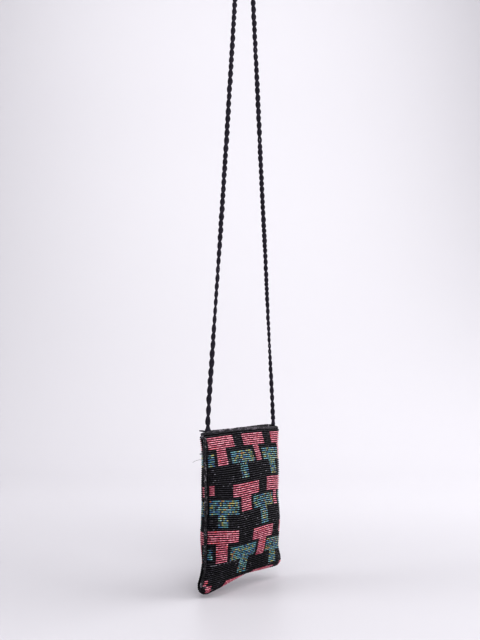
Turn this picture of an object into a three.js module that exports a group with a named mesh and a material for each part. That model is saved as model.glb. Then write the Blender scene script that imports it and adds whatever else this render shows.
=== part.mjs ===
// Beaded crossbody bag: a soft, filled pouch of beaded cloth that hangs from one long twisted cord.
// Millimetres, +Z up, front towards -Y. The origin is the hang point, under the top of the cord's arch.
import * as THREE from 'three';

// Pouch: one cloth folded at the bottom, its two side seams in the plane y = 0
const MOUTH_Z = -478.5;          // side corners of the mouth, below the hang point
const HALF_WIDTH = 57;           // middle of the mouth to a side seam
const LEFT_FLARE = 1.8;          // the left one reaches this much further at the mouth
const HEIGHT = 136.8;            // mouth to the bottom fold, at the middle
const EAR_DROP_LEFT = 12.4;      // bottom corners hang lower than the middle of the fold
const EAR_DROP_RIGHT = 1.8;
const EAR_POWER = 1.1;
const CORNER_FROM = 0.81;        // share of the half width where a bottom corner starts to round off
const CORNER_LIFT_LEFT = 13;
const CORNER_LIFT_RIGHT = 6;
const MOUTH_ARCH = 1.7;          // middle of the mouth above its corners
const BACK_DIP = 2.2;            // back edge of the mouth below the front one, at the middle
const BACK_SKEW = 4.2;           // and how that changes from the left to the right
const FRONT_SAG = 1.3;           // front edge of the mouth sags this much, half way to the right
const MOUTH_CORNER_FROM = 0.84;  // share of the half width where a corner of the mouth starts to round off
const MOUTH_CORNER_DROP = 4;
const MOUTH_DROP_FADE = 8;       // power by which both fade below the mouth
const ROW_SAG = 2.8;             // middle of a bead row below its ends
const BOTTOM_ROUND_FROM = 0.93;  // share of the height where the bottom starts to turn under
const WALL = 2;                  // beads and backing together
const FOLD_GAP = 0.6;            // half the width left where a face folds over or the inside ends

// Sections from the mouth down: share of the height, swell of the front and of the back, side seams pulled
// in, and how boxy the section is at the seams (2 is an ellipse)
const SECTIONS = [
  { at: 0.00, front: 5.4, back: 5.4, pullIn: 0.0, boxy: 2.65 },
  { at: 0.08, front: 9.5, back: 9.5, pullIn: 1.9, boxy: 2.5 },
  { at: 0.19, front: 15.2, back: 15.2, pullIn: 3.6, boxy: 2.3 },
  { at: 0.33, front: 19.4, back: 20.2, pullIn: 4.9, boxy: 2.15 },
  { at: 0.45, front: 19.3, back: 20.9, pullIn: 5.4, boxy: 2.05 },
  { at: 0.55, front: 21.6, back: 21.9, pullIn: 5.2, boxy: 2.05 },
  { at: 0.64, front: 23.0, back: 23.0, pullIn: 5.0, boxy: 2.1 },
  { at: 0.72, front: 21.2, back: 20.2, pullIn: 4.9, boxy: 2.2 },
  { at: 0.80, front: 18.8, back: 16.0, pullIn: 4.8, boxy: 2.3 },
  { at: 0.86, front: 15.4, back: 15.0, pullIn: 3.2, boxy: 2.4 },
  { at: 0.95, front: 13.2, back: 13.2, pullIn: -1.4, boxy: 2.55 },
  { at: 1.00, front: 12.9, back: 12.9, pullIn: -3.3, boxy: 2.65 },
];
const AROUND = 48;               // facets round the pouch, an even number
const LEVELS = 27;               // facets down each side of its wall
const LEVEL_CROWDING = 1.7;      // levels crowd towards the bottom

// Trim
const SEAT = 0.3;                // clearance between neighbouring pieces
const SMALL_SIDES = 8;
const PIPING_RADIUS = 1.5;
const PIPING_SHIFT = 2;          // piping lies this far off the seam: forward on the left, back on the right
const PIPING_SHIFT_SHARE = 0.35; // but no more than this share of the swell
const PIPING_STEPS = 24;
const PIPING_START = 0.02;       // shares of the height where the piping starts and ends
const PIPING_END = 0.975;
const BINDING_RADIUS = 1.4;
const BINDING_STEPS = 26;
const BINDING_END = 0.37;        // angle where a binding stops short of a side seam, radians

// Strap: two plies twisted into one cord, on two sewn ends
const STRAP_RADIUS = 2.4;
const STRAP_SIDES = 10;
const STRAP_STEPS_PER_SPAN = 2;
const ARCH_RADIUS = 9.8;
const ARCH_SPANS = 8;
const END_INSET = 8.6;           // strap ends sit this far in from the side seams
const END_RADIUS = 3.3;
const END_NECK_RADIUS = 2.1;
const END_HEIGHT = 6.1;
const END_SIDES = 14;

// Strap's centreline from its sewn ends up to the arch: height, and how far each leg is from the middle
const STRAP_LEGS = [
  { z: -467.6, left: 48.8, right: 48.0 },
  { z: -450, left: 47.4, right: 46.7 },
  { z: -400, left: 42.7, right: 42.3 },
  { z: -350, left: 38.2, right: 38.1 },
  { z: -300, left: 33.6, right: 34.3 },
  { z: -250, left: 29.2, right: 29.9 },
  { z: -200, left: 24.9, right: 25.9 },
  { z: -150, left: 20.8, right: 22.0 },
  { z: -100, left: 16.7, right: 17.9 },
  { z: -60, left: 13.6, right: 14.5 },
  { z: -25, left: 11.2, right: 11.6 },
];
const ARCH_LEAN = 0.084;         // legs lean in by this angle where they meet the arch, radians

const beadedCloth = new THREE.MeshStandardMaterial({ color: 0x1b181c, roughness: 0.35, metalness: 0 });
const blackTrim = new THREE.MeshStandardMaterial({ color: 0x17151a, roughness: 0.8, metalness: 0 });
const blackCord = new THREE.MeshStandardMaterial({ color: 0x1a171d, roughness: 0.75, metalness: 0 });

// A column of the section table at any share of the height, as a curve that never overshoots the table
function sectionValue(column, at) {
  const last = SECTIONS.length - 2;
  let i = 0;
  while (i < last && at > SECTIONS[i + 1].at) i += 1;
  const slope = (k) => {
    const a = SECTIONS[k];
    const b = SECTIONS[k + 1];
    return (b[column] - a[column]) / (b.at - a.at);
  };
  const tangent = (k) => {
    if (k === 0) return slope(0);
    if (k === SECTIONS.length - 1) return slope(k - 1);
    const before = slope(k - 1);
    const after = slope(k);
    return before * after <= 0 ? 0 : (2 * before * after) / (before + after);
  };
  const a = SECTIONS[i];
  const b = SECTIONS[i + 1];
  const span = b.at - a.at;
  const t = (at - a.at) / span;
  const rise = t * t * (3 - 2 * t);
  return a[column] * (1 - rise) + b[column] * rise
    + span * (tangent(i) * t * (1 - t) ** 2 - tangent(i + 1) * t * t * (1 - t));
}

function bottomRounding(at) {
  const past = Math.max(0, (at - BOTTOM_ROUND_FROM) / (1 - BOTTOM_ROUND_FROM));
  return Math.sqrt(Math.max(0, 1 - past * past));
}

function swellAt(at, onBack) {
  return Math.max(sectionValue(onBack ? 'back' : 'front', at) * bottomRounding(at), FOLD_GAP);
}

function halfWidthAt(across, at) {
  const flare = across < 0 ? LEFT_FLARE * (1 - at) ** 6 : 0;
  return HALF_WIDTH - sectionValue('pullIn', at) + flare;
}

function roundedOff(across, from) {
  const past = Math.min(1, Math.max(0, (Math.abs(across) - from) / (1 - from)));
  return 1 - Math.sqrt(1 - past * past);
}

// How far the edge of the mouth is below its plain arch
function mouthDrop(across, onBack) {
  const sag = onBack || across < 0 ? 0 : FRONT_SAG * Math.sin(Math.PI * across);
  return sag + MOUTH_CORNER_DROP * roundedOff(across, MOUTH_CORNER_FROM);
}

// Height of a point, from its share of the half width (-1 left seam, 1 right seam) and of the height
function heightAt(across, at, onBack) {
  const ear = (across < 0 ? EAR_DROP_LEFT : EAR_DROP_RIGHT) * Math.abs(across) ** EAR_POWER;
  const belly = 1 - across * across;
  const bend = MOUTH_ARCH * (1 - at) - ROW_SAG * Math.sin(Math.PI * at);
  const dip = onBack ? (BACK_SKEW * across - BACK_DIP) * (1 - at) ** 4 : 0;
  const lift = (across < 0 ? CORNER_LIFT_LEFT : CORNER_LIFT_RIGHT) * roundedOff(across, CORNER_FROM) * at ** 6;
  const drop = mouthDrop(across, onBack) * (1 - at) ** MOUTH_DROP_FADE;
  return MOUTH_Z - at * (HEIGHT + ear) + belly * (bend + dip) + lift - drop;
}

// A point of the pouch, a depth inside its outer face. The angle runs from the right seam over the front
// to the left seam, and on round the back.
function pouchPoint(angle, at, depth) {
  const onBack = Math.sin(angle) < 0;
  const cos = Math.cos(angle);
  const across = Math.sign(cos) * Math.abs(cos) ** (2 / sectionValue('boxy', at));
  const swell = Math.max(swellAt(at, onBack) - depth, FOLD_GAP);
  return new THREE.Vector3(
    (halfWidthAt(across, at) - depth) * across,
    -swell * Math.sin(angle),
    heightAt(across, at * (1 - depth / HEIGHT), onBack),
  );
}

// Hollow pouch wall: outer rings down to the fold, inner rings down to the floor, joined at the mouth
function pouchGeometry() {
  const positions = [];
  const triangles = [];
  const addRing = (at, depth) => {
    const start = positions.length / 3;
    for (let k = 0; k < AROUND; k += 1) {
      positions.push(...pouchPoint((2 * Math.PI * k) / AROUND, at, depth).toArray());
    }
    return start;
  };
  const addWall = (upper, lower) => {
    for (let k = 0; k < AROUND; k += 1) {
      const next = (k + 1) % AROUND;
      triangles.push(upper + k, upper + next, lower + k);
      triangles.push(upper + next, lower + next, lower + k);
    }
  };
  // Sews a ring's front points to its back points, between the two seam points
  const sewShut = (ring, facesDown) => {
    const half = AROUND / 2;
    const add = (a, b, c) => (facesDown ? triangles.push(a, b, c) : triangles.push(a, c, b));
    for (let k = 0; k < half; k += 1) {
      const front = ring + k;
      const back = ring + ((AROUND - k) % AROUND);
      const frontNext = ring + k + 1;
      const backNext = ring + AROUND - k - 1;
      if (k > 0) add(front, frontNext, back);
      if (k < half - 1) add(frontNext, backNext, back);
    }
  };
  const levels = Array.from({ length: LEVELS + 1 }, (_, i) => 1 - (1 - i / LEVELS) ** LEVEL_CROWDING);
  const outer = levels.map((at) => addRing(at, 0));
  const inner = levels.map((at) => addRing(at, WALL));
  for (let i = 0; i < LEVELS; i += 1) {
    addWall(outer[i], outer[i + 1]);
    addWall(inner[i + 1], inner[i]);
  }
  addWall(inner[0], outer[0]);
  sewShut(outer[LEVELS], true);
  sewShut(inner[LEVELS], false);
  const geometry = new THREE.BufferGeometry();
  geometry.setAttribute('position', new THREE.Float32BufferAttribute(positions, 3));
  geometry.setIndex(triangles);
  geometry.computeVertexNormals();
  return geometry;
}

// A curve whose steps keep to its own points, so that bends given by more points get more steps
class PointedCurve extends THREE.CatmullRomCurve3 {
  getUtoTmapping(u) {
    return u;
  }
}

function roundSection(radius, sides) {
  const section = new THREE.Shape();
  for (let k = 0; k < sides; k += 1) {
    const angle = (2 * Math.PI * k) / sides;
    const x = radius * Math.cos(angle);
    const y = radius * Math.sin(angle);
    if (k === 0) section.moveTo(x, y);
    else section.lineTo(x, y);
  }
  section.closePath();
  return section;
}

function cordGeometry(points, radius, sides, steps) {
  return new THREE.ExtrudeGeometry(roundSection(radius, sides), {
    extrudePath: new PointedCurve(points),
    steps,
    bevelEnabled: false,
  });
}

// Piping beside one side seam: side -1 is the left
function sidePipingGeometry(side) {
  const points = [];
  const tiny = 0.001;
  for (let i = 0; i <= PIPING_STEPS; i += 1) {
    const at = PIPING_START + ((PIPING_END - PIPING_START) * i) / PIPING_STEPS;
    const turn = Math.asin(Math.min(PIPING_SHIFT_SHARE, PIPING_SHIFT / swellAt(at, side > 0)));
    const angle = (side < 0 ? Math.PI : 0) - turn;
    const around = pouchPoint(angle + tiny, at, 0).sub(pouchPoint(angle - tiny, at, 0));
    const down = pouchPoint(angle, at + tiny, 0).sub(pouchPoint(angle, at - tiny, 0));
    const out = around.cross(down).normalize();
    points.push(pouchPoint(angle, at, 0).addScaledVector(out, PIPING_RADIUS + SEAT));
  }
  return cordGeometry(points, PIPING_RADIUS, SMALL_SIDES, PIPING_STEPS);
}

// Binding along the top of one face's wall: side -1 is the front
function mouthBindingGeometry(side) {
  const points = [];
  for (let i = 0; i <= BINDING_STEPS; i += 1) {
    const angle = BINDING_END + ((Math.PI - 2 * BINDING_END) * i) / BINDING_STEPS;
    const point = pouchPoint(side < 0 ? angle : -angle, 0, WALL / 2);
    point.z += BINDING_RADIUS + SEAT;
    points.push(point);
  }
  return cordGeometry(points, BINDING_RADIUS, SMALL_SIDES, BINDING_STEPS);
}

// Sewn strap end: a short cone that stands on the two bindings at a corner of the mouth
function strapEndGeometry() {
  const profile = [
    new THREE.Vector2(0, 0),
    new THREE.Vector2(END_RADIUS, 0),
    new THREE.Vector2(END_RADIUS, 0.25 * END_HEIGHT),
    new THREE.Vector2(0.5 * (END_RADIUS + END_NECK_RADIUS), 0.65 * END_HEIGHT),
    new THREE.Vector2(END_NECK_RADIUS, END_HEIGHT),
    new THREE.Vector2(0, END_HEIGHT),
  ];
  return new THREE.LatheGeometry(profile, END_SIDES).rotateX(Math.PI / 2);
}

function strapEndPosition(side) {
  const inset = side * (HALF_WIDTH - END_INSET);
  const innerEdge = (inset - side * END_RADIUS) / HALF_WIDTH;
  const rim = Math.max(heightAt(innerEdge, 0, false), heightAt(innerEdge, 0, true));
  return new THREE.Vector3(inset, 0, rim + 2 * BINDING_RADIUS + 2 * SEAT);
}

// Strap points: up the left leg, over the hang point on an arch, down the right leg
function strapPoints() {
  const left = STRAP_LEGS.map((row) => new THREE.Vector3(-row.left, 0, row.z));
  const right = STRAP_LEGS.map((row) => new THREE.Vector3(row.right, 0, row.z));
  const arch = [];
  for (let i = 0; i <= ARCH_SPANS; i += 1) {
    const angle = Math.PI - ARCH_LEAN - ((Math.PI - 2 * ARCH_LEAN) * i) / ARCH_SPANS;
    const rise = STRAP_RADIUS - ARCH_RADIUS + ARCH_RADIUS * Math.sin(angle);
    arch.push(new THREE.Vector3(ARCH_RADIUS * Math.cos(angle), 0, rise));
  }
  return [...left, ...arch, ...right.reverse()];
}

function piece(name, geometry, material, position) {
  const mesh = new THREE.Mesh(geometry, material);
  mesh.name = name;
  if (position) mesh.position.copy(position);
  return mesh;
}

const bag = new THREE.Group();
bag.add(piece('pouch', pouchGeometry(), beadedCloth));
bag.add(piece('side_piping_left', sidePipingGeometry(-1), blackTrim));
bag.add(piece('side_piping_right', sidePipingGeometry(1), blackTrim));
bag.add(piece('mouth_binding_front', mouthBindingGeometry(-1), blackTrim));
bag.add(piece('mouth_binding_back', mouthBindingGeometry(1), blackTrim));
bag.add(piece('strap_end_left', strapEndGeometry(), blackCord, strapEndPosition(-1)));
bag.add(piece('strap_end_right', strapEndGeometry(), blackCord, strapEndPosition(1)));
const strapRoute = strapPoints();
const strapSteps = STRAP_STEPS_PER_SPAN * (strapRoute.length - 1);
bag.add(piece('strap', cordGeometry(strapRoute, STRAP_RADIUS, STRAP_SIDES, strapSteps), blackCord));

export default bag;
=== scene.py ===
# Beaded crossbody bag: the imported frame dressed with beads, cloth and twisted cord
import math
import bmesh
import bpy
import numpy as np
from mathutils import Matrix, Vector


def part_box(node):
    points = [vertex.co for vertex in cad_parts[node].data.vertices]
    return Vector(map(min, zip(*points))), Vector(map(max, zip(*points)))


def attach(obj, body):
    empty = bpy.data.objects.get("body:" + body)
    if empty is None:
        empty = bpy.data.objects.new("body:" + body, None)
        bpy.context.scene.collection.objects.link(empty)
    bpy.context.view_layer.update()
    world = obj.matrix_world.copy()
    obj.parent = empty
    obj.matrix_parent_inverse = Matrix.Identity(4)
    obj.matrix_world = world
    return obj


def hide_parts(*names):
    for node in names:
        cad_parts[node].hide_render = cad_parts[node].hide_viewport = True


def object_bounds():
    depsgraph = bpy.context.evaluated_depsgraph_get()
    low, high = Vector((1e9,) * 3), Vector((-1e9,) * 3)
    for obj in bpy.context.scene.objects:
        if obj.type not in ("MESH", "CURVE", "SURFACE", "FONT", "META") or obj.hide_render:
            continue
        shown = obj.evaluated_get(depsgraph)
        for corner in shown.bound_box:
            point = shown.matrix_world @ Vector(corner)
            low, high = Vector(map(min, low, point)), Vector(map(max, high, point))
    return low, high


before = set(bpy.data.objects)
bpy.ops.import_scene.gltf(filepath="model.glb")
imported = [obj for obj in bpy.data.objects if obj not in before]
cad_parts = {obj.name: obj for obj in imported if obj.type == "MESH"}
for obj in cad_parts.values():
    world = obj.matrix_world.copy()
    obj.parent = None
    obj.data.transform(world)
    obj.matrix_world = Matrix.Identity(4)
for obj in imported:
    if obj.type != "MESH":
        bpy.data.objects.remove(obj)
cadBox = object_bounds()
scene = bpy.context.scene
scene.view_settings.view_transform = "Standard"
scene.view_settings.look = "High Contrast"
mm = 0.001
chance = np.random.default_rng(seed=11)
print("frame loaded")


# Camera, with places in metres and angles in degrees

photoCamera = {
    "turn": 49.0,        # round from straight in front, towards the left seam
    "distance": 0.901,
    "aside": 0.00235,
    "height": -0.3982,
    "tilt": 1.77,
    "roll": 0.3,
    "lens": 51.98,
    "sensor": 36,
}


def addCamera(place):
    turn, tilt = math.radians(place["turn"]), math.radians(place["tilt"])
    right = Vector((math.cos(turn), -math.sin(turn), 0))
    ahead = Vector((math.sin(turn), math.cos(turn), 0))
    look = ahead * math.cos(tilt) + Vector((0, 0, math.sin(tilt)))
    axes = Matrix((right, right.cross(look), -look)).transposed().to_4x4()
    spot = -place["aside"] * right - place["distance"] * ahead + Vector((0, 0, place["height"]))
    roll = Matrix.Rotation(math.radians(place["roll"]), 4, "Z")
    data = bpy.data.cameras.new("photoCamera")
    data.lens, data.sensor_width = place["lens"], place["sensor"]
    camera = bpy.data.objects.new("photoCamera", data)
    scene.collection.objects.link(camera)
    camera.matrix_world = Matrix.Translation(spot) @ axes @ roll
    scene.camera = camera
    return right, ahead


cameraRight, cameraAhead = addCamera(photoCamera)
print("camera set")


# Shader maths: a wrapped socket that adds Math nodes as it is used

class Wire:
    def __init__(self, tree, out):
        self.tree, self.out = tree, out

    def make(self, kind, settings=None, inputs=None, out=0):
        node = self.tree.nodes.new("ShaderNode" + kind)
        for name, value in (settings or {}).items():
            if name == "stops":
                for spare in range(len(value) - 2):
                    node.color_ramp.elements.new(0.5)
                for element, (place, colour) in zip(node.color_ramp.elements, value):
                    element.position, element.color = place, (*colour, 1)
            elif name == "interpolation":
                node.color_ramp.interpolation = value
            else:
                setattr(node, name, value)
        for name, value in (inputs or {}).items():
            if isinstance(value, Wire):
                self.tree.links.new(value.out, node.inputs[name])
            else:
                node.inputs[name].default_value = value
        return Wire(self.tree, node.outputs[out])

    def maths(self, operation, first, second):
        return self.make("Math", {"operation": operation}, {0: first, 1: second})

    def __add__(self, other):
        return self.maths("ADD", self, other)

    def __radd__(self, other):
        return self.maths("ADD", other, self)

    def __mul__(self, other):
        return self.maths("MULTIPLY", self, other)

    def __rmul__(self, other):
        return self.maths("MULTIPLY", other, self)


def newMaterial(name):
    material = bpy.data.materials.new(name)
    material.use_nodes = True
    tree = material.node_tree
    shader = tree.nodes["Principled BSDF"]
    return material, shader, Wire(tree, None)


def plug(shader, links):
    for name, value in links.items():
        if isinstance(value, Wire):
            value.tree.links.new(value.out, shader.inputs[name])
        else:
            shader.inputs[name].default_value = value


# Objects and meshes

def addObject(name, mesh):
    piece = bpy.data.objects.new(name, mesh)
    scene.collection.objects.link(piece)
    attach(piece, "root")
    return piece


def dress(piece, material):
    piece.data.materials.clear()
    piece.data.materials.append(material)


def shadeSmooth(mesh):
    for polygon in mesh.polygons:
        polygon.use_smooth = True


def meshFrom(bm, name):
    mesh = bpy.data.meshes.new(name)
    bm.to_mesh(mesh)
    bm.free()
    shadeSmooth(mesh)
    return mesh


def spinProfile(bm, points, centre, axis, steps, weld):
    verts = [bm.verts.new(point) for point in points]
    edges = [bm.edges.new(pair) for pair in zip(verts, verts[1:])]
    bmesh.ops.spin(bm, geom=verts + edges, cent=centre, axis=axis, angle=2 * math.pi,
                   steps=steps, use_merge=True)
    bmesh.ops.remove_doubles(bm, verts=bm.verts, dist=weld)


# Lines, tubes and plies

def unit(vectors):
    return vectors / np.maximum(np.linalg.norm(vectors, axis=-1, keepdims=True), 1e-9)


def distancesAlong(line):
    return np.concatenate([[0], np.cumsum(np.linalg.norm(np.diff(line, axis=0), axis=-1))])


# A smooth curve through values with the given slopes, at share t of the span after value i
def curveThrough(values, slopes, i, span, t):
    rise = t * t * (3 - 2 * t)
    return (values[i] * (1 - rise) + values[i + 1] * rise
            + span * (slopes[i] * t * (1 - t) ** 2 - slopes[i + 1] * t * t * (1 - t)))


def smoothLine(points, step):
    points = np.array(points, float)
    chord = distancesAlong(points)
    slopes = np.gradient(points, chord, axis=0)
    s = np.linspace(0, chord[-1], int(chord[-1] / step) + 1)
    i = np.clip(np.searchsorted(chord, s, side="right") - 1, 0, len(points) - 2)
    span = (chord[i + 1] - chord[i])[:, None]
    t = (s - chord[i])[:, None] / span
    return curveThrough(points, slopes, i, span, t)


def twistedLines(line, radius, pitch, plies, start=0.0):
    ahead = unit(np.gradient(line, axis=0))
    side = np.tile(np.array([0.0, 1.0, 0.0]), (len(line), 1))
    third = unit(np.cross(ahead, side))
    turns = np.cumsum(np.gradient(distancesAlong(line)) / pitch)
    made = []
    for k in range(plies):
        angle = start + 2 * np.pi * (turns + k / plies)
        made.append(line + radius * (np.cos(angle)[:, None] * side + np.sin(angle)[:, None] * third))
    return made


def tubeObject(name, lines, radius, roundness, girths):
    curve = bpy.data.curves.new(name + "Line", "CURVE")
    curve.dimensions = "3D"
    curve.bevel_depth = radius * mm
    curve.bevel_resolution = roundness
    curve.use_fill_caps = True
    for line, girth in zip(lines, girths):
        spline = curve.splines.new("POLY")
        spline.points.add(len(line) - 1)
        spline.points.foreach_set("co", np.column_stack([line * mm, np.ones(len(line))]).ravel())
        spline.points.foreach_set("radius", girth)
    holder = bpy.data.objects.new(name + "Line", curve)
    scene.collection.objects.link(holder)
    depsgraph = bpy.context.evaluated_depsgraph_get()
    mesh = bpy.data.meshes.new_from_object(holder.evaluated_get(depsgraph))
    bpy.data.objects.remove(holder)
    mesh.name = name
    shadeSmooth(mesh)
    return addObject(name, mesh)


# Yarn

drift = {"every": 9, "limit": 1.6, "rough": 0.3, "roughLimit": 2}


# Girth that drifts along a yarn, in a slow swell every few mm with a fine roughness on it
def unevenYarn(count, step, amount):
    along = np.arange(count) * step
    knots = np.arange(0, along[-1] + drift["every"], drift["every"])
    slow = np.interp(along, knots, chance.standard_normal(len(knots)))
    fine = chance.standard_normal(count).clip(-drift["roughLimit"], drift["roughLimit"])
    return 1 + amount * slow.clip(-drift["limit"], drift["limit"]) + drift["rough"] * amount * fine


yarn = {
    "fuzzDetail": 3.0,
    "fuzzShare": 0.6,
    "patchDetail": 2.0,
    "patchShare": 0.4,
    "bump": 0.5,
    "sheenRoughness": 0.5,
}


def noise(place, scale, detail):
    return place.make("TexNoise", None, {"Vector": place, "Scale": scale, "Detail": detail}, "Fac")


def yarnMaterial(name, finish):
    material, shader, wire = newMaterial(name)
    place = wire.make("TexCoord", out="Object")
    fuzz = noise(place, finish["fuzz"], yarn["fuzzDetail"])
    patch = noise(place, finish["patch"], yarn["patchDetail"])
    tone = fuzz * yarn["fuzzShare"] + patch * yarn["patchShare"]
    colour = wire.make("ValToRGB", {"stops": finish["colours"]}, {"Fac": tone})
    relief = {"Height": fuzz, "Strength": yarn["bump"], "Distance": finish["relief"]}
    plug(shader, {
        "Base Color": colour,
        "Normal": wire.make("Bump", None, relief),
        "Roughness": finish["roughness"],
        "Specular IOR Level": finish["shine"],
        "Sheen Weight": finish["sheen"],
        "Sheen Roughness": yarn["sheenRoughness"],
    })
    return material


cordYarn = yarnMaterial("cordYarn", {
    "fuzz": 1900.0, "patch": 90.0, "relief": 0.0004, "roughness": 0.8, "shine": 0.25, "sheen": 0.08,
    "colours": [(0.3, (0.006, 0.005, 0.009)), (0.7, (0.034, 0.028, 0.044))],
})
pipingYarn = yarnMaterial("pipingYarn", {
    "fuzz": 520.0, "patch": 160.0, "relief": 0.001, "roughness": 0.55, "shine": 0.25, "sheen": 0.06,
    "colours": [(0.44, (0.003, 0.003, 0.004)), (0.55, (0.036, 0.033, 0.04)), (0.65, (0.3, 0.28, 0.31))],
})
bindingYarn = yarnMaterial("bindingYarn", {
    "fuzz": 700.0, "patch": 120.0, "relief": 0.0006, "roughness": 0.65, "shine": 0.2, "sheen": 0.06,
    "colours": [(0.4, (0.01, 0.009, 0.011)), (0.53, (0.044, 0.04, 0.048)), (0.66, (0.26, 0.24, 0.27))],
})
backingYarn = yarnMaterial("backingYarn", {
    "fuzz": 1500.0, "patch": 120.0, "relief": 0.0003, "roughness": 0.85, "shine": 0.05, "sheen": 0.0,
    "colours": [(0.3, (0.002, 0.002, 0.003)), (0.7, (0.010, 0.009, 0.012))],
})


# Strap: two plies twisted together, up the left, over the hang point and down the right, in mm

strap = {
    "thickness": 4.8,
    "plies": 2,
    "plyRadius": 1.24,
    "turnRadius": 1.16,
    "roundness": 3,
    # share of the way from the left end, with how stout the cord is there
    "girths": [(0.0, 1.0), (0.06, 1.04), (0.11, 0.76), (0.16, 0.88), (0.2, 1.02),
               (0.8, 1.02), (0.87, 0.88), (0.92, 0.7), (0.96, 0.88), (1.0, 0.95)],
    # and with the length of a full turn
    "pitches": [(0.0, 18.5), (0.06, 17.0), (0.12, 15.5), (0.3, 14.5),
                (0.7, 13.0), (0.86, 10.5), (0.93, 12.0), (1.0, 16.5)],
    "pitchDrift": 0.12,
    "step": 1.0,
    "pathEvery": 3,
    "intoEnd": 1.6,
    "firstTurn": 2.29,
    "uneven": 0.12,
    "archRadius": 9.8,
    "archLean": 0.084,
    "archSpans": 8,
    "legs": [
        {"z": -467.6, "left": 48.8, "right": 48.0},
        {"z": -450, "left": 47.4, "right": 46.7},
        {"z": -400, "left": 42.7, "right": 42.3},
        {"z": -350, "left": 38.2, "right": 38.1},
        {"z": -300, "left": 33.6, "right": 34.3},
        {"z": -250, "left": 29.2, "right": 29.9},
        {"z": -200, "left": 24.9, "right": 25.9},
        {"z": -150, "left": 20.8, "right": 22.0},
        {"z": -100, "left": 16.7, "right": 17.9},
        {"z": -60, "left": 13.6, "right": 14.5},
        {"z": -25, "left": 11.2, "right": 11.6},
    ],
}


def strapRoute():
    radius, lean = strap["archRadius"], strap["archLean"]
    left = [(-row["left"], 0, row["z"]) for row in strap["legs"]]
    right = [(row["right"], 0, row["z"]) for row in reversed(strap["legs"])]
    angles = np.linspace(math.pi - lean, lean, strap["archSpans"] + 1)
    low = strap["thickness"] / 2 - radius
    arch = [(radius * math.cos(a), 0, low + radius * math.sin(a)) for a in angles]
    return smoothLine(left + arch + right, strap["step"])


strapLine = strapRoute()
strapLine[0, 2] -= strap["intoEnd"]
strapLine[-1, 2] -= strap["intoEnd"]
strapShare = np.linspace(0, 1, len(strapLine))
strapGirth = np.interp(strapShare, *zip(*strap["girths"]))
strapPitch = np.interp(strapShare, *zip(*strap["pitches"]))
strapPitch *= unevenYarn(len(strapLine), strap["step"], strap["pitchDrift"])
strapTurn = strap["turnRadius"] * strapGirth[:, None]
strapPlies = twistedLines(strapLine, strapTurn, strapPitch, strap["plies"], strap["firstTurn"])
plyGirths = [strapGirth * unevenYarn(len(strapLine), strap["step"], strap["uneven"]) for ply in strapPlies]
strapPiece = tubeObject("strapCord", strapPlies, strap["plyRadius"], strap["roundness"], plyGirths)
dress(strapPiece, cordYarn)
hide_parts("strap")
tuple(strapLine[0] * mm)
print("strap made", round(distancesAlong(strapLine)[-1]), "mm long,", len(strapPiece.data.polygons), "faces")


# Pouch form in mm, with the same sizes as the part

pouch = {
    "mouthZ": -478.5,
    "halfWidth": 57.0,
    "leftFlare": 1.8,
    "flareFade": 6,
    "height": 136.8,
    "earLeft": 12.4,
    "earRight": 1.8,
    "earPower": 1.1,
    "cornerFrom": 0.81,
    "cornerLeft": 13.0,
    "cornerRight": 6.0,
    "cornerFade": 6,
    "mouthArch": 1.7,
    "backDip": 2.2,
    "backSkew": 4.2,
    "backFade": 4,
    "frontSag": 1.3,
    "mouthCornerFrom": 0.84,
    "mouthCornerDrop": 4.0,
    "mouthDropFade": 8,
    "rowSag": 2.8,
    "roundFrom": 0.93,
    "foldGap": 0.6,
    "sections": [
        {"at": 0.00, "front": 5.4, "back": 5.4, "pullIn": 0.0, "boxy": 2.65},
        {"at": 0.08, "front": 9.5, "back": 9.5, "pullIn": 1.9, "boxy": 2.5},
        {"at": 0.19, "front": 15.2, "back": 15.2, "pullIn": 3.6, "boxy": 2.3},
        {"at": 0.33, "front": 19.4, "back": 20.2, "pullIn": 4.9, "boxy": 2.15},
        {"at": 0.45, "front": 19.3, "back": 20.9, "pullIn": 5.4, "boxy": 2.05},
        {"at": 0.55, "front": 21.6, "back": 21.9, "pullIn": 5.2, "boxy": 2.05},
        {"at": 0.64, "front": 23.0, "back": 23.0, "pullIn": 5.0, "boxy": 2.1},
        {"at": 0.72, "front": 21.2, "back": 20.2, "pullIn": 4.9, "boxy": 2.2},
        {"at": 0.80, "front": 18.8, "back": 16.0, "pullIn": 4.8, "boxy": 2.3},
        {"at": 0.86, "front": 15.4, "back": 15.0, "pullIn": 3.2, "boxy": 2.4},
        {"at": 0.95, "front": 13.2, "back": 13.2, "pullIn": -1.4, "boxy": 2.55},
        {"at": 1.00, "front": 12.9, "back": 12.9, "pullIn": -3.3, "boxy": 2.65},
    ],
}


# A column of the sections as a curve that doesn't overshoot them
def sectionCurve(column, at):
    knots = np.array([row["at"] for row in pouch["sections"]])
    values = np.array([row[column] for row in pouch["sections"]])
    slope = np.diff(values) / np.diff(knots)
    product = slope[:-1] * slope[1:]
    total = np.where(product > 0, slope[:-1] + slope[1:], 1)
    tangent = np.concatenate([slope[:1], np.where(product > 0, 2 * product / total, 0), slope[-1:]])
    i = np.clip(np.searchsorted(knots, at, side="right") - 1, 0, len(knots) - 2)
    span = knots[i + 1] - knots[i]
    return curveThrough(values, tangent, i, span, (at - knots[i]) / span)


def swellAt(at, onBack):
    past = np.clip((at - pouch["roundFrom"]) / (1 - pouch["roundFrom"]), 0, 1)
    swell = np.where(onBack, sectionCurve("back", at), sectionCurve("front", at))
    return np.maximum(swell * np.sqrt(1 - past ** 2), pouch["foldGap"])


def halfWidthAt(across, at):
    flare = (across < 0) * pouch["leftFlare"] * (1 - at) ** pouch["flareFade"]
    return pouch["halfWidth"] - sectionCurve("pullIn", at) + flare


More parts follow.
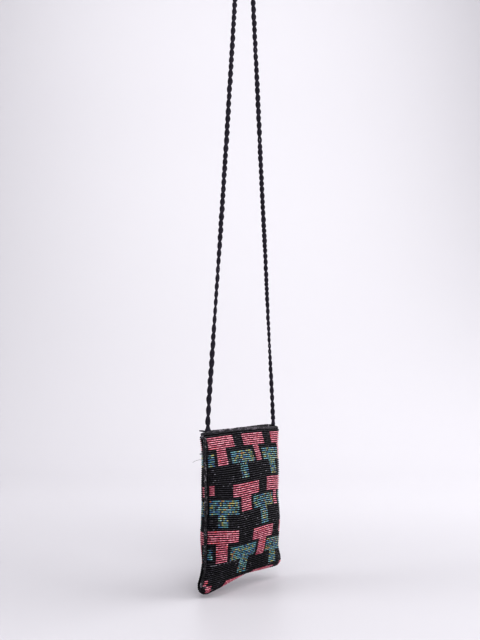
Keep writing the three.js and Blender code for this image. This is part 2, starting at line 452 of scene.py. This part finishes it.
def roundedOff(across, start):
    past = np.clip((np.abs(across) - start) / (1 - start), 0, 1)
    return 1 - np.sqrt(1 - past ** 2)


# How far the edge of the mouth is below its plain arch
def mouthDrop(across, onBack):
    sag = np.where(onBack | (across < 0), 0, pouch["frontSag"] * np.sin(np.pi * across))
    return sag + pouch["mouthCornerDrop"] * roundedOff(across, pouch["mouthCornerFrom"])


def heightAt(across, at, onBack):
    ear = np.where(across < 0, pouch["earLeft"], pouch["earRight"]) * np.abs(across) ** pouch["earPower"]
    belly = 1 - across * across
    bend = pouch["mouthArch"] * (1 - at) - pouch["rowSag"] * np.sin(np.pi * at)
    dip = onBack * (pouch["backSkew"] * across - pouch["backDip"]) * (1 - at) ** pouch["backFade"]
    corner = np.where(across < 0, pouch["cornerLeft"], pouch["cornerRight"])
    lift = corner * roundedOff(across, pouch["cornerFrom"]) * at ** pouch["cornerFade"]
    drop = mouthDrop(across, onBack) * (1 - at) ** pouch["mouthDropFade"]
    return pouch["mouthZ"] - at * (pouch["height"] + ear) + belly * (bend + dip) + lift - drop


def acrossAt(angle, at):
    return np.sign(np.cos(angle)) * np.abs(np.cos(angle)) ** (2 / sectionCurve("boxy", at))


# A point of the pouch, by its share of the way down and its angle, which runs from the right seam
# over the front to the left seam and round the back
def pouchPoint(angle, at):
    onBack = np.sin(angle) < 0
    across = acrossAt(angle, at)
    return np.stack([halfWidthAt(across, at) * across, -swellAt(at, onBack) * np.sin(angle),
                     heightAt(across, at, onBack)], axis=-1)


# How far rows have slid down the cloth: up at the left seam and down beside it
def rowSlide(slide, down, over):
    rise = np.clip(over / slide["peak"], 0, 1)
    fall = np.clip((over - slide["peak"]) / (slide["end"] - slide["peak"]), 0, 1)
    deep = np.clip((down - slide["from"]) / (slide["to"] - slide["from"]), 0, 1)
    wave = -np.cos(np.pi * rise) * (1 + np.cos(np.pi * fall)) / 2
    return slide["by"] * wave * np.sin(np.pi * deep)


faceGrid = {"rows": 161, "crowding": 1.7, "columns": 181}     # rows crowd together towards the fold
halfWay = 0.5


# Points of one face, at shares across it. Down it they are in mm from the mouth's plain arch, or shares of
# the cloth's length. Side -1 is the front. Also tells how much cloth is above and below each point.
def clothPoints(side, down, over, shares=False, slide=None):
    at = (1 - (1 - np.linspace(0, 1, faceGrid["rows"])) ** faceGrid["crowding"])[:, None]
    angle = np.linspace(math.pi, 0, faceGrid["columns"])[None, :] * -side
    face = pouchPoint(angle, at)
    length = np.linalg.norm(np.diff(face, axis=0), axis=-1)
    length = np.concatenate([np.zeros((1, faceGrid["columns"])), np.cumsum(length, axis=0)])
    missing = mouthDrop(acrossAt(angle[0], 0), side > 0)
    rows = np.empty((len(down), faceGrid["columns"], 5))     # x, y, z, cloth above, cloth below
    for j in range(faceGrid["columns"]):
        wanted = down * length[-1, j] if shares else down - missing[j]
        if slide:
            wanted = wanted + rowSlide(slide, down, (acrossAt(angle[0, j], halfWay) + 1) / 2)
        for axis in range(3):
            rows[:, j, axis] = np.interp(wanted, length[:, j], face[:, j, axis])
        rows[:, j, 3] = wanted
        rows[:, j, 4] = length[-1, j] - wanted
    made = np.empty((len(down), len(over), 5))
    for i in range(len(down)):
        reach = distancesAlong(rows[i, :, :3])
        for k in range(5):
            made[i, :, k] = np.interp(over, reach / reach[-1], rows[i, :, k])
    return made[..., :3], made[..., 3], made[..., 4]


# Directions along the rows and out of the cloth
def clothFrame(points, side):
    along = unit(np.gradient(points, axis=1))
    down = unit(np.gradient(points, axis=0))
    out = unit(np.cross(down, along) * -side)
    return along, out


# Backing cloth under the beads, black, which also shows inside the mouth. Its flat size is in metres

cloth = {"down": 72, "over": 56, "sunk": 0.95, "thickness": 0.75, "weld": 0.3, "flat": (0.118, 0.300)}


def clothShell():
    bm = bmesh.new()
    down, over = np.linspace(0, 1, cloth["down"] + 1), np.linspace(0, 1, cloth["over"] + 1)
    for side in (-1, 1):
        points = clothPoints(side, down, over, shares=True)[0]
        rim = points[0, :, 2].copy()
        out = clothFrame(points, side)[1]
        out[:, [0, -1]] = [[-1, 0, 0], [1, 0, 0]]
        out[-1] = [0, 0, -1]
        points = points - cloth["sunk"] * out
        points[0, :, 2] = rim
        grid = bmesh.ops.create_grid(bm, x_segments=cloth["over"], y_segments=cloth["down"], size=0.5)
        for vert in grid["verts"]:
            i = round((0.5 - vert.co.y) * cloth["down"])
            j = round((vert.co.x + 0.5) * cloth["over"])
            vert.co = points[i, j] * mm
        if side == 1:
            bmesh.ops.reverse_faces(bm, faces=list({f for v in grid["verts"] for f in v.link_faces}))
    bmesh.ops.remove_doubles(bm, verts=bm.verts, dist=cloth["weld"] * mm)
    return addObject("pouchCloth", meshFrom(bm, "pouchCloth"))


pouchCloth = clothShell()
wall = pouchCloth.modifiers.new("wall", "SOLIDIFY")
wall.thickness, wall.offset = cloth["thickness"] * mm, -1
dress(pouchCloth, backingYarn)
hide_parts("pouch")
print("cloth made")


# Seed beads, in rows sewn to the cloth

beads = {
    "over": 74,
    "rows": 78,
    "pitch": 2.0,
    "above": 1.0,         # how far the rows are moved up from half a pitch below the rim
    "rimEdge": 0.3,       # no bead's middle further than this above the mouth's edge
    "edge": 0.5,          # or closer than this to the bottom fold
    "underPiping": 1,     # columns left bare where a piping covers them
    "backStart": 4,       # columns that the pattern starts further on, on the back
    "diameter": 1.38,
    "length": 1.74,
    "profile": [(-0.5, 0.34), (-0.42, 0.46), (0.0, 0.5), (0.42, 0.46), (0.5, 0.34)],
    "sides": 7,
    "weld": 1e-4,
    "sunk": 0.35,
    "uneven": 0.05,
    "unevenLimit": 1.6,
    "jitter": 0.045,
    "lean": 0.045,
    # rows of the front that have slid, by shares across the face and mm down it
    "slide": {"by": 2.0, "peak": 0.28, "end": 0.62, "from": 30.0, "to": 125.0},
    # black beads of the front along a bend, where a share take the palest black tone as painted glints
    "ridge": {"row": 61, "columns": (2, 21), "share": 0.6},
}

# Blocks in the shape of a T, one line each: tone, first row, first and last column of the bar and of the
# stem, rows of the bar and of the stem
blocks = [
    ("rose", 2, 3.5, 23.7, 9.2, 15.8, 6, 8),
    ("rose", 2, 32, 52, 39.6, 45.4, 6, 8),
    ("rose", 2, 60, 80, 66, 74, 6, 8),
    ("teal", 10, 3.4, 7, 0, 0, 6, 0),
    ("teal", 10, 18.6, 38, 25, 31.5, 6, 7),
    ("teal", 9.6, 46.5, 66, 52, 60, 6, 7),
    ("rose", 24.6, 3, 6, 0, 0, 5, 0),
    ("rose", 25, 18, 38.7, 24, 32, 6, 7),
    ("rose", 24.4, 47.3, 67, 54.5, 60, 6.4, 7),
    ("teal", 32, 3, 22.5, 8.2, 14, 6.6, 6.4),
    ("teal", 32.1, 34, 54, 39.4, 46.4, 6, 7.5),
    ("teal", 32, 62, 82, 69, 76, 6, 7),
    ("rose", 46, 2, 21, 7, 14.5, 6, 8.6),
    ("rose", 47.4, 31.5, 51, 38, 45, 5.6, 9),
    ("rose", 46, 61, 80, 67, 74, 6, 8),
    ("teal", 54.4, 2, 5.4, 0, 0, 5, 0),
    ("teal", 54.4, 16, 36.5, 24, 31, 6.6, 7.6),
    ("teal", 54, 46, 67, 51.5, 60, 6.6, 7),
    ("rose", 71.2, 18, 33, 0, 0, 8, 0),
    ("rose", 69.8, 40, 59, 0, 0, 8, 0),
    ("rose", 67.6, 66, 76, 0, 0, 8, 0),
]
cornerBlocks = [           # on the front alone, down in the left corner
    ("rose", 68, 2.5, 5.2, 0, 0, 2.6, 0),
    ("rose", 70.6, 5.5, 9, 0, 0, 2.6, 0),
    ("rose", 73.2, 6.6, 10, 0, 0, 1.6, 0),
]


def beadChart(onBack):
    row, column = np.mgrid[0:beads["rows"], 0:beads["over"]] + 0.5
    column += beads["backStart"] * onBack
    chart = np.full(row.shape, "black", dtype=object)
    charted = blocks if onBack else blocks + cornerBlocks
    for tone, first, barStart, barEnd, stemStart, stemEnd, barRows, stemRows in charted:
        deep = row - first
        inBar = (deep >= 0) & (deep < barRows) & (column > barStart) & (column < barEnd)
        inStem = (deep >= barRows) & (deep < barRows + stemRows)
        inStem &= (column > stemStart) & (column < stemEnd)
        chart[inBar | inStem] = tone
    return chart


# One bead, of length and diameter 1
def beadShape():
    bm = bmesh.new()
    profile = [(x, 0, r) for x, r in beads["profile"]]
    spinProfile(bm, profile, (0, 0, 0), (1, 0, 0), beads["sides"], beads["weld"])
    bmesh.ops.holes_fill(bm, edges=[e for e in bm.edges if e.is_boundary], sides=0)
    bmesh.ops.recalc_face_normals(bm, faces=bm.faces)
    bm.verts.index_update()
    points = np.array([v.co[:] for v in bm.verts])
    faces = [[v.index for v in f.verts] for f in bm.faces]
    bm.free()
    return points, faces


beadPoints, beadFaces = beadShape()


# Many beads as one mesh. Crown is 1 on top of a bead and 0 underneath; the bead colours use it to place
# painted shade and a painted highlight
def joinBeads(name, centres, along, out, tones):
    count, corners = len(centres), len(beadPoints)
    third = np.cross(out, along)
    spread = chance.standard_normal((count, 2)).clip(-beads["unevenLimit"], beads["unevenLimit"])
    size = 1 + beads["uneven"] * spread
    x = beadPoints[None, :, :1] * (beads["length"] * size[:, None, :1])
    y = beadPoints[None, :, 1:2] * (beads["diameter"] * size[:, None, 1:])
    z = beadPoints[None, :, 2:] * (beads["diameter"] * size[:, None, 1:])
    points = centres[:, None] + x * along[:, None] + y * third[:, None] + z * out[:, None]
    loops = np.concatenate([np.array(f) for f in beadFaces])
    starts = np.concatenate([[0], np.cumsum([len(f) for f in beadFaces])[:-1]])
    each = np.arange(count)[:, None]
    mesh = bpy.data.meshes.new(name)
    mesh.vertices.add(count * corners)
    mesh.vertices.foreach_set("co", (points * mm).ravel())
    mesh.loops.add(count * len(loops))
    mesh.loops.foreach_set("vertex_index", (loops[None] + corners * each).ravel())
    mesh.polygons.add(count * len(starts))
    mesh.polygons.foreach_set("loop_start", (starts[None] + len(loops) * each).ravel())
    mesh.polygons.foreach_set("use_smooth", np.ones(count * len(starts), bool))
    mesh.update(calc_edges=True)
    mesh.validate()
    mesh.attributes.new("tone", "FLOAT", "POINT").data.foreach_set("value", np.repeat(tones, corners))
    crown = np.tile(0.5 + 0.5 * beadPoints[:, 2] / np.hypot(beadPoints[:, 1], beadPoints[:, 2]), count)
    mesh.attributes.new("crown", "FLOAT", "POINT").data.foreach_set("value", crown)
    return addObject(name, mesh)


glass = {"polishFrom": 0.80, "polishTo": 0.94, "roughness": 0.5, "coatBend": 1.9}


def beadMaterial(name, finish):
    material, shader, wire = newMaterial(name)
    tone = wire.make("Attribute", {"attribute_name": "tone"}, None, "Fac")
    crown = wire.make("Attribute", {"attribute_name": "crown"}, None, "Fac")
    ramp = {"stops": finish["colours"], "interpolation": finish["mix"]}
    colour = wire.make("ValToRGB", ramp, {"Fac": tone})
    # painted shade and highlight: the colour is darkened away from each bead's crown and left full along it
    depth = wire.make("ValToRGB", {"stops": finish["depth"]}, {"Fac": crown})
    multiply = {"data_type": "RGBA", "blend_type": "MULTIPLY"}
    polish = {
        "Value": crown,
        "From Min": glass["polishFrom"],
        "From Max": glass["polishTo"],
        "To Max": finish["polish"],
    }
    plug(shader, {
        "Base Color": wire.make("Mix", multiply, {0: 1.0, 6: colour, 7: depth}, 2),
        "Roughness": glass["roughness"],
        "Specular IOR Level": finish["shine"],
        "Coat Weight": wire.make("MapRange", None, polish),
        "Coat Roughness": finish["roughness"],
        "Coat IOR": glass["coatBend"],
    })
    return material


# Colours by chance from bead to bead, with painted shade: each bead is darker down its sides and underside,
# at the thread between the rows, which leaves a painted highlight along its crown
beadFinishes = {
    "black": {
        "mix": "LINEAR", "roughness": 0.1, "shine": 0.03, "polish": 0.45,
        # the palest black, at the top of the tones, is painted glints
        "colours": [(0.0, (0.006, 0.005, 0.009)), (0.65, (0.02, 0.017, 0.028)),
                    (0.95, (0.06, 0.054, 0.072)), (1.0, (0.25, 0.24, 0.27))],
        "depth": [(0.82, (0.02, 0.02, 0.02)), (0.99, (1.0, 1.0, 1.0))],
    },
    "rose": {
        "mix": "LINEAR", "roughness": 0.07, "shine": 0.1, "polish": 0.8,
        "colours": [(0.0, (0.42, 0.085, 0.14)), (0.5, (0.62, 0.20, 0.27)),
                    (0.92, (0.80, 0.40, 0.46)), (1.0, (0.74, 0.09, 0.10))],
        "depth": [(0.55, (0.16, 0.05, 0.065)), (0.8, (0.55, 0.36, 0.4)), (0.98, (1.0, 1.0, 1.0))],
    },
    "teal": {
        "mix": "CONSTANT", "roughness": 0.07, "shine": 0.1, "polish": 0.7,
        "colours": [(0.0, (0.09, 0.25, 0.29)), (0.26, (0.21, 0.38, 0.40)), (0.40, (0.045, 0.13, 0.28)),
                    (0.57, (0.38, 0.34, 0.12)), (0.72, (0.13, 0.23, 0.16)), (0.85, (0.04, 0.05, 0.07)),
                    (0.97, (0.40, 0.18, 0.085))],
        "depth": [(0.58, (0.12, 0.12, 0.12)), (0.98, (1.0, 1.0, 1.0))],
    },
}
beadMaterials = {tone: beadMaterial(tone + "Beads", finish) for tone, finish in beadFinishes.items()}


def sewBeads():
    made = []
    bare, ridge = beads["underPiping"], beads["ridge"]
    down = np.maximum(0, (np.arange(beads["rows"]) + 0.5) * beads["pitch"] - beads["above"])
    over = (np.arange(beads["over"]) + 0.5) / beads["over"]
    for side, sideName in ((-1, "Front"), (1, "Back")):
        chart = beadChart(side > 0)
        slide = beads["slide"] if side < 0 else None
        points, clothAbove, clothBelow = clothPoints(side, down, over, slide=slide)
        along, out = clothFrame(points, side)
        points = points - beads["sunk"] * out + chance.normal(0, beads["jitter"], points.shape)
        along = unit(along + chance.normal(0, beads["lean"], along.shape))
        out = unit(out - (out * along).sum(-1, keepdims=True) * along)
        tones = chance.random(chart.shape)
        keep = (clothAbove > -beads["rimEdge"]) & (clothBelow > beads["edge"])
        if side < 0:
            keep[:, :bare] = False
            # painted glints: a share of the ridge row's beads take the top tone, the palest black
            paintedGlints = tones[ridge["row"], slice(*ridge["columns"])]
            paintedGlints[paintedGlints < ridge["share"]] = 1.0
        else:
            keep[:, -bare:] = False
        for tone in beadFinishes:
            chosen = keep & (chart == tone)
            name = tone + "Beads" + sideName
            piece = joinBeads(name, points[chosen], along[chosen], out[chosen], tones[chosen])
            dress(piece, beadMaterials[tone])
            made.append(piece)
            print(piece.name, int(chosen.sum()), "beads")
    return made


beadPieces = sewBeads()


# Side piping: two fine plies down each seam

piping = {
    "seat": 0.3,
    "radius": 1.5,
    "plies": 2,
    "plyOverlap": 1.04,
    "pitch": 5.0,
    "uneven": 0.2,
    "shift": 2.0,         # round from the seam, to the front on the left and to the back on the right
    "shiftShare": 0.35,
    "curlIn": 1.4,        # the top end curls over the corner of the mouth
    "curlUp": 3.0,
    "start": 0.02,
    "end": 0.975,
    "sections": 60,
    "step": 0.7,
    "roundness": 2,
}


def sidePiping(side, name, node):
    tiny = 0.001
    seam = math.pi if side < 0 else 0.0
    at = np.linspace(piping["start"], piping["end"], piping["sections"])
    angle = seam - np.arcsin(np.minimum(piping["shiftShare"], piping["shift"] / swellAt(at, side > 0)))
    around = pouchPoint(angle + tiny, at) - pouchPoint(angle - tiny, at)
    down = pouchPoint(angle, at + tiny) - pouchPoint(angle, at - tiny)
    out = unit(np.cross(around, down))
    curl = pouchPoint(np.array([seam]), np.zeros(1)) + [-side * piping["curlIn"], 0, piping["curlUp"]]
    line = np.vstack([curl, pouchPoint(angle, at) + out * (piping["radius"] + piping["seat"])])
    line = smoothLine(line, piping["step"])
    ply = piping["radius"] / 2
    plies = twistedLines(line, ply, piping["pitch"], piping["plies"])
    girths = [unevenYarn(len(line), piping["step"], piping["uneven"]) for each in plies]
    piece = tubeObject(name, plies, ply * piping["plyOverlap"], piping["roundness"], girths)
    dress(piece, pipingYarn)
    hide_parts(node)
    return piece


# Rolled edge of the mouth, front and back

binding = {
    "seat": 0.3,
    "radius": 1.4,
    "end": 0.41,          # the angle from the seams at which it stops
    "wall": 2.0,
    "waver": 0.1,
    "waverRise": 2.5,
    "uneven": 0.12,
    "sections": 70,
    "step": 1.0,
    "roundness": 4,
}


def mouthBinding(side, name, node):
    angle = np.linspace(math.pi - binding["end"], binding["end"], binding["sections"])
    across = acrossAt(angle, 0)
    swell = pouch["sections"][0]["front"] - binding["wall"] / 2
    half = halfWidthAt(across, 0) - binding["wall"] / 2
    line = np.column_stack([half * across, side * swell * np.sin(angle),
                            heightAt(across, 0, side > 0) + binding["radius"] + binding["seat"]])
    line = smoothLine(line, binding["step"])
    waver = unevenYarn(len(line), binding["step"], binding["waver"]) - 1
    line[:, 2] += binding["waverRise"] * waver
    girth = unevenYarn(len(line), binding["step"], binding["uneven"])
    piece = tubeObject(name, [line], binding["radius"], binding["roundness"], [girth])
    dress(piece, bindingYarn if side < 0 else pipingYarn)
    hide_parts(node)
    return piece


# Sewn strap ends, flared and wrapped with thread

strapEnd = {
    "radii": (2.9, 2.1),     # left and right
    "neck": 1.5,
    "flare": 2.2,
    "height": 6.1,
    "foot": 2.2,
    "footShare": 0.8,
    "wraps": 7,
    "threadRise": 0.14,
    "threadSink": 0.1,
    "steps": 24,
    "weld": 0.01,
}


def sewnStrapEnd(side, name, node):
    low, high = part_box(node)
    middle = Vector(((low.x + high.x) / 2, 0, low.z))
    wide = strapEnd["radii"][side > 0]
    profile = [(0, -strapEnd["foot"]), (wide * strapEnd["footShare"], -strapEnd["foot"])]
    last = strapEnd["wraps"] * 3
    for k in range(last + 1):
        share = k / last
        ridge = strapEnd["threadRise"] * (k % 3 == 1)
        radius = strapEnd["neck"] + (wide - strapEnd["neck"]) * (1 - share) ** strapEnd["flare"]
        profile.append((radius - strapEnd["threadSink"] + ridge, strapEnd["height"] * share))
    profile.append((0, strapEnd["height"]))
    bm = bmesh.new()
    points = [middle + Vector((r, 0, z)) * mm for r, z in profile]
    spinProfile(bm, points, middle, (0, 0, 1), strapEnd["steps"], strapEnd["weld"] * mm)
    bmesh.ops.recalc_face_normals(bm, faces=bm.faces)
    piece = addObject(name, meshFrom(bm, name))
    dress(piece, cordYarn)
    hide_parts(node)
    return piece


# Loose ends of thread at the left, as the camera sees it. Two start on the pouch's outline, at a share of
# the way down, and one starts below the left strap end

threadForm = {"ring": 361, "points": 9, "wave": 3, "tip": 0.7, "roundness": 2}
looseThreads = {
    "strapThreadEnd": {
        "radius": 0.8, "length": 6.8, "rise": 0.9, "curl": 0.3, "inside": -1.2, "below": 1.6,
    },
    "seamThreadNub": {
        "radius": 0.55, "length": 3.2, "rise": -0.2, "curl": 0.2, "inside": 1.6, "at": 0.115,
    },
    "seamFibre": {
        "radius": 0.13, "length": 10.0, "rise": -2.6, "curl": 1.2, "inside": 1.6, "at": 0.155,
    },
}


def looseThread(name, thread):
    away = -np.array(cameraRight)
    if "at" in thread:
        angle = np.linspace(0, 2 * math.pi, threadForm["ring"])
        ring = pouchPoint(angle, np.full(len(angle), thread["at"]))
        start = ring[np.argmax(ring @ away)]
    else:
        low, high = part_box("strap_end_left")
        start = np.array([(low.x + high.x) / 2, 0, low.z - thread["below"] * mm]) / mm
    start = start - away * thread["inside"]
    t = np.linspace(0, 1, threadForm["points"])[:, None]
    lift = thread["rise"] * t + thread["curl"] * np.sin(threadForm["wave"] * t)
    line = start + away * thread["length"] * t + [0, 0, 1] * lift
    girth = np.linspace(1, threadForm["tip"], len(line))
    piece = tubeObject(name, [line], thread["radius"], threadForm["roundness"], [girth])
    dress(piece, cordYarn)
    return piece


trimPieces = [looseThread(name, thread) for name, thread in looseThreads.items()] + [
    sidePiping(-1, "sidePipingLeft", "side_piping_left"),
    sidePiping(1, "sidePipingRight", "side_piping_right"),
    mouthBinding(-1, "mouthBindingFront", "mouth_binding_front"),
    mouthBinding(1, "mouthBindingBack", "mouth_binding_back"),
    sewnStrapEnd(-1, "strapEndLeft", "strap_end_left"),
    sewnStrapEnd(1, "strapEndRight", "strap_end_right"),
]
print("trim made")


# Floor, sweep and light, in metres apart from the gap in mm

sweep = {
    "floorGap": 3.0,
    "near": 1.4,
    "far": 1.6,
    "tall": 3.0,
    "wide": 10.0,
    "bend": 0.9,
    "segments": 16,
    "colour": (0.53, 0.519, 0.545, 1),
    "roughness": 0.45,
    "shine": 0.35,
}


def addSweep():
    floorZ = cadBox[0][2] - sweep["floorGap"] * mm
    bm = bmesh.new()
    spots = [(-sweep["near"], floorZ), (sweep["far"], floorZ), (sweep["far"], floorZ + sweep["tall"])]
    aside = cameraRight * sweep["wide"] / 2
    verts = [bm.verts.new(cameraAhead * a + Vector((0, 0, z)) - aside) for a, z in spots]
    for pair in zip(verts, verts[1:]):
        bm.edges.new(pair)
    bmesh.ops.bevel(bm, geom=[verts[1]], offset=sweep["bend"], offset_type="OFFSET", profile=0.5,
                    segments=sweep["segments"], affect="VERTICES", material=-1)
    made = bmesh.ops.extrude_edge_only(bm, edges=bm.edges[:])["geom"]
    bmesh.ops.translate(bm, verts=[g for g in made if isinstance(g, bmesh.types.BMVert)],
                        vec=cameraRight * sweep["wide"])
    bmesh.ops.recalc_face_normals(bm, faces=bm.faces)
    mesh = meshFrom(bm, "sweep")
    ground = bpy.data.objects.new("sweep", mesh)
    scene.collection.objects.link(ground)
    material, shader = newMaterial("paleSweep")[:2]
    plug(shader, {"Base Color": sweep["colour"], "Roughness": sweep["roughness"],
                  "Specular IOR Level": sweep["shine"]})
    mesh.materials.append(material)


# Lamps, placed and aimed to the camera's right, ahead of it and up, with their watts
lamps = {
    "overheadBox": {"where": (0.0, -0.5, 1.2), "aim": (0, -0.2, -0.6), "size": 2.2, "power": 16.5},
    "frontBox": {"where": (0.3, -1.3, 0.0), "aim": (0, 0, -0.5), "size": 1.0, "power": 9.5},
    "leftBox": {"where": (-1.2, -0.2, -0.1), "aim": (0, 0, -0.55), "size": 0.8, "power": 5},
    "rightBox": {"where": (1.15, 0.2, 0.0), "aim": (0, 0, -0.55), "size": 1.5, "power": 13},
    "backdropWash": {"where": (0, 0.8, 0.5), "aim": (0, 1.6, 0.0), "size": 1.8, "power": 7},
}


def addLight(name, where, aim, size, power):
    data = bpy.data.lights.new(name, "AREA")
    data.shape, data.size, data.energy = "DISK", size, power
    lamp = bpy.data.objects.new(name, data)
    scene.collection.objects.link(lamp)
    spot, target = (cameraRight * x + cameraAhead * y + Vector((0, 0, z)) for x, y, z in (where, aim))
    lamp.location = spot
    lamp.rotation_mode = "QUATERNION"
    lamp.rotation_quaternion = (target - spot).to_track_quat("-Z", "Y")


air = {"Color": (0.93, 0.92, 0.96, 1), "Strength": 0.23}


def addAir():
    world = bpy.data.worlds.new("studioAir")
    scene.world = world
    world.use_nodes = True
    plug(world.node_tree.nodes["Background"], air)


addSweep()
for name, lamp in lamps.items():
    addLight(name, **lamp)
addAir()
print("studio made")
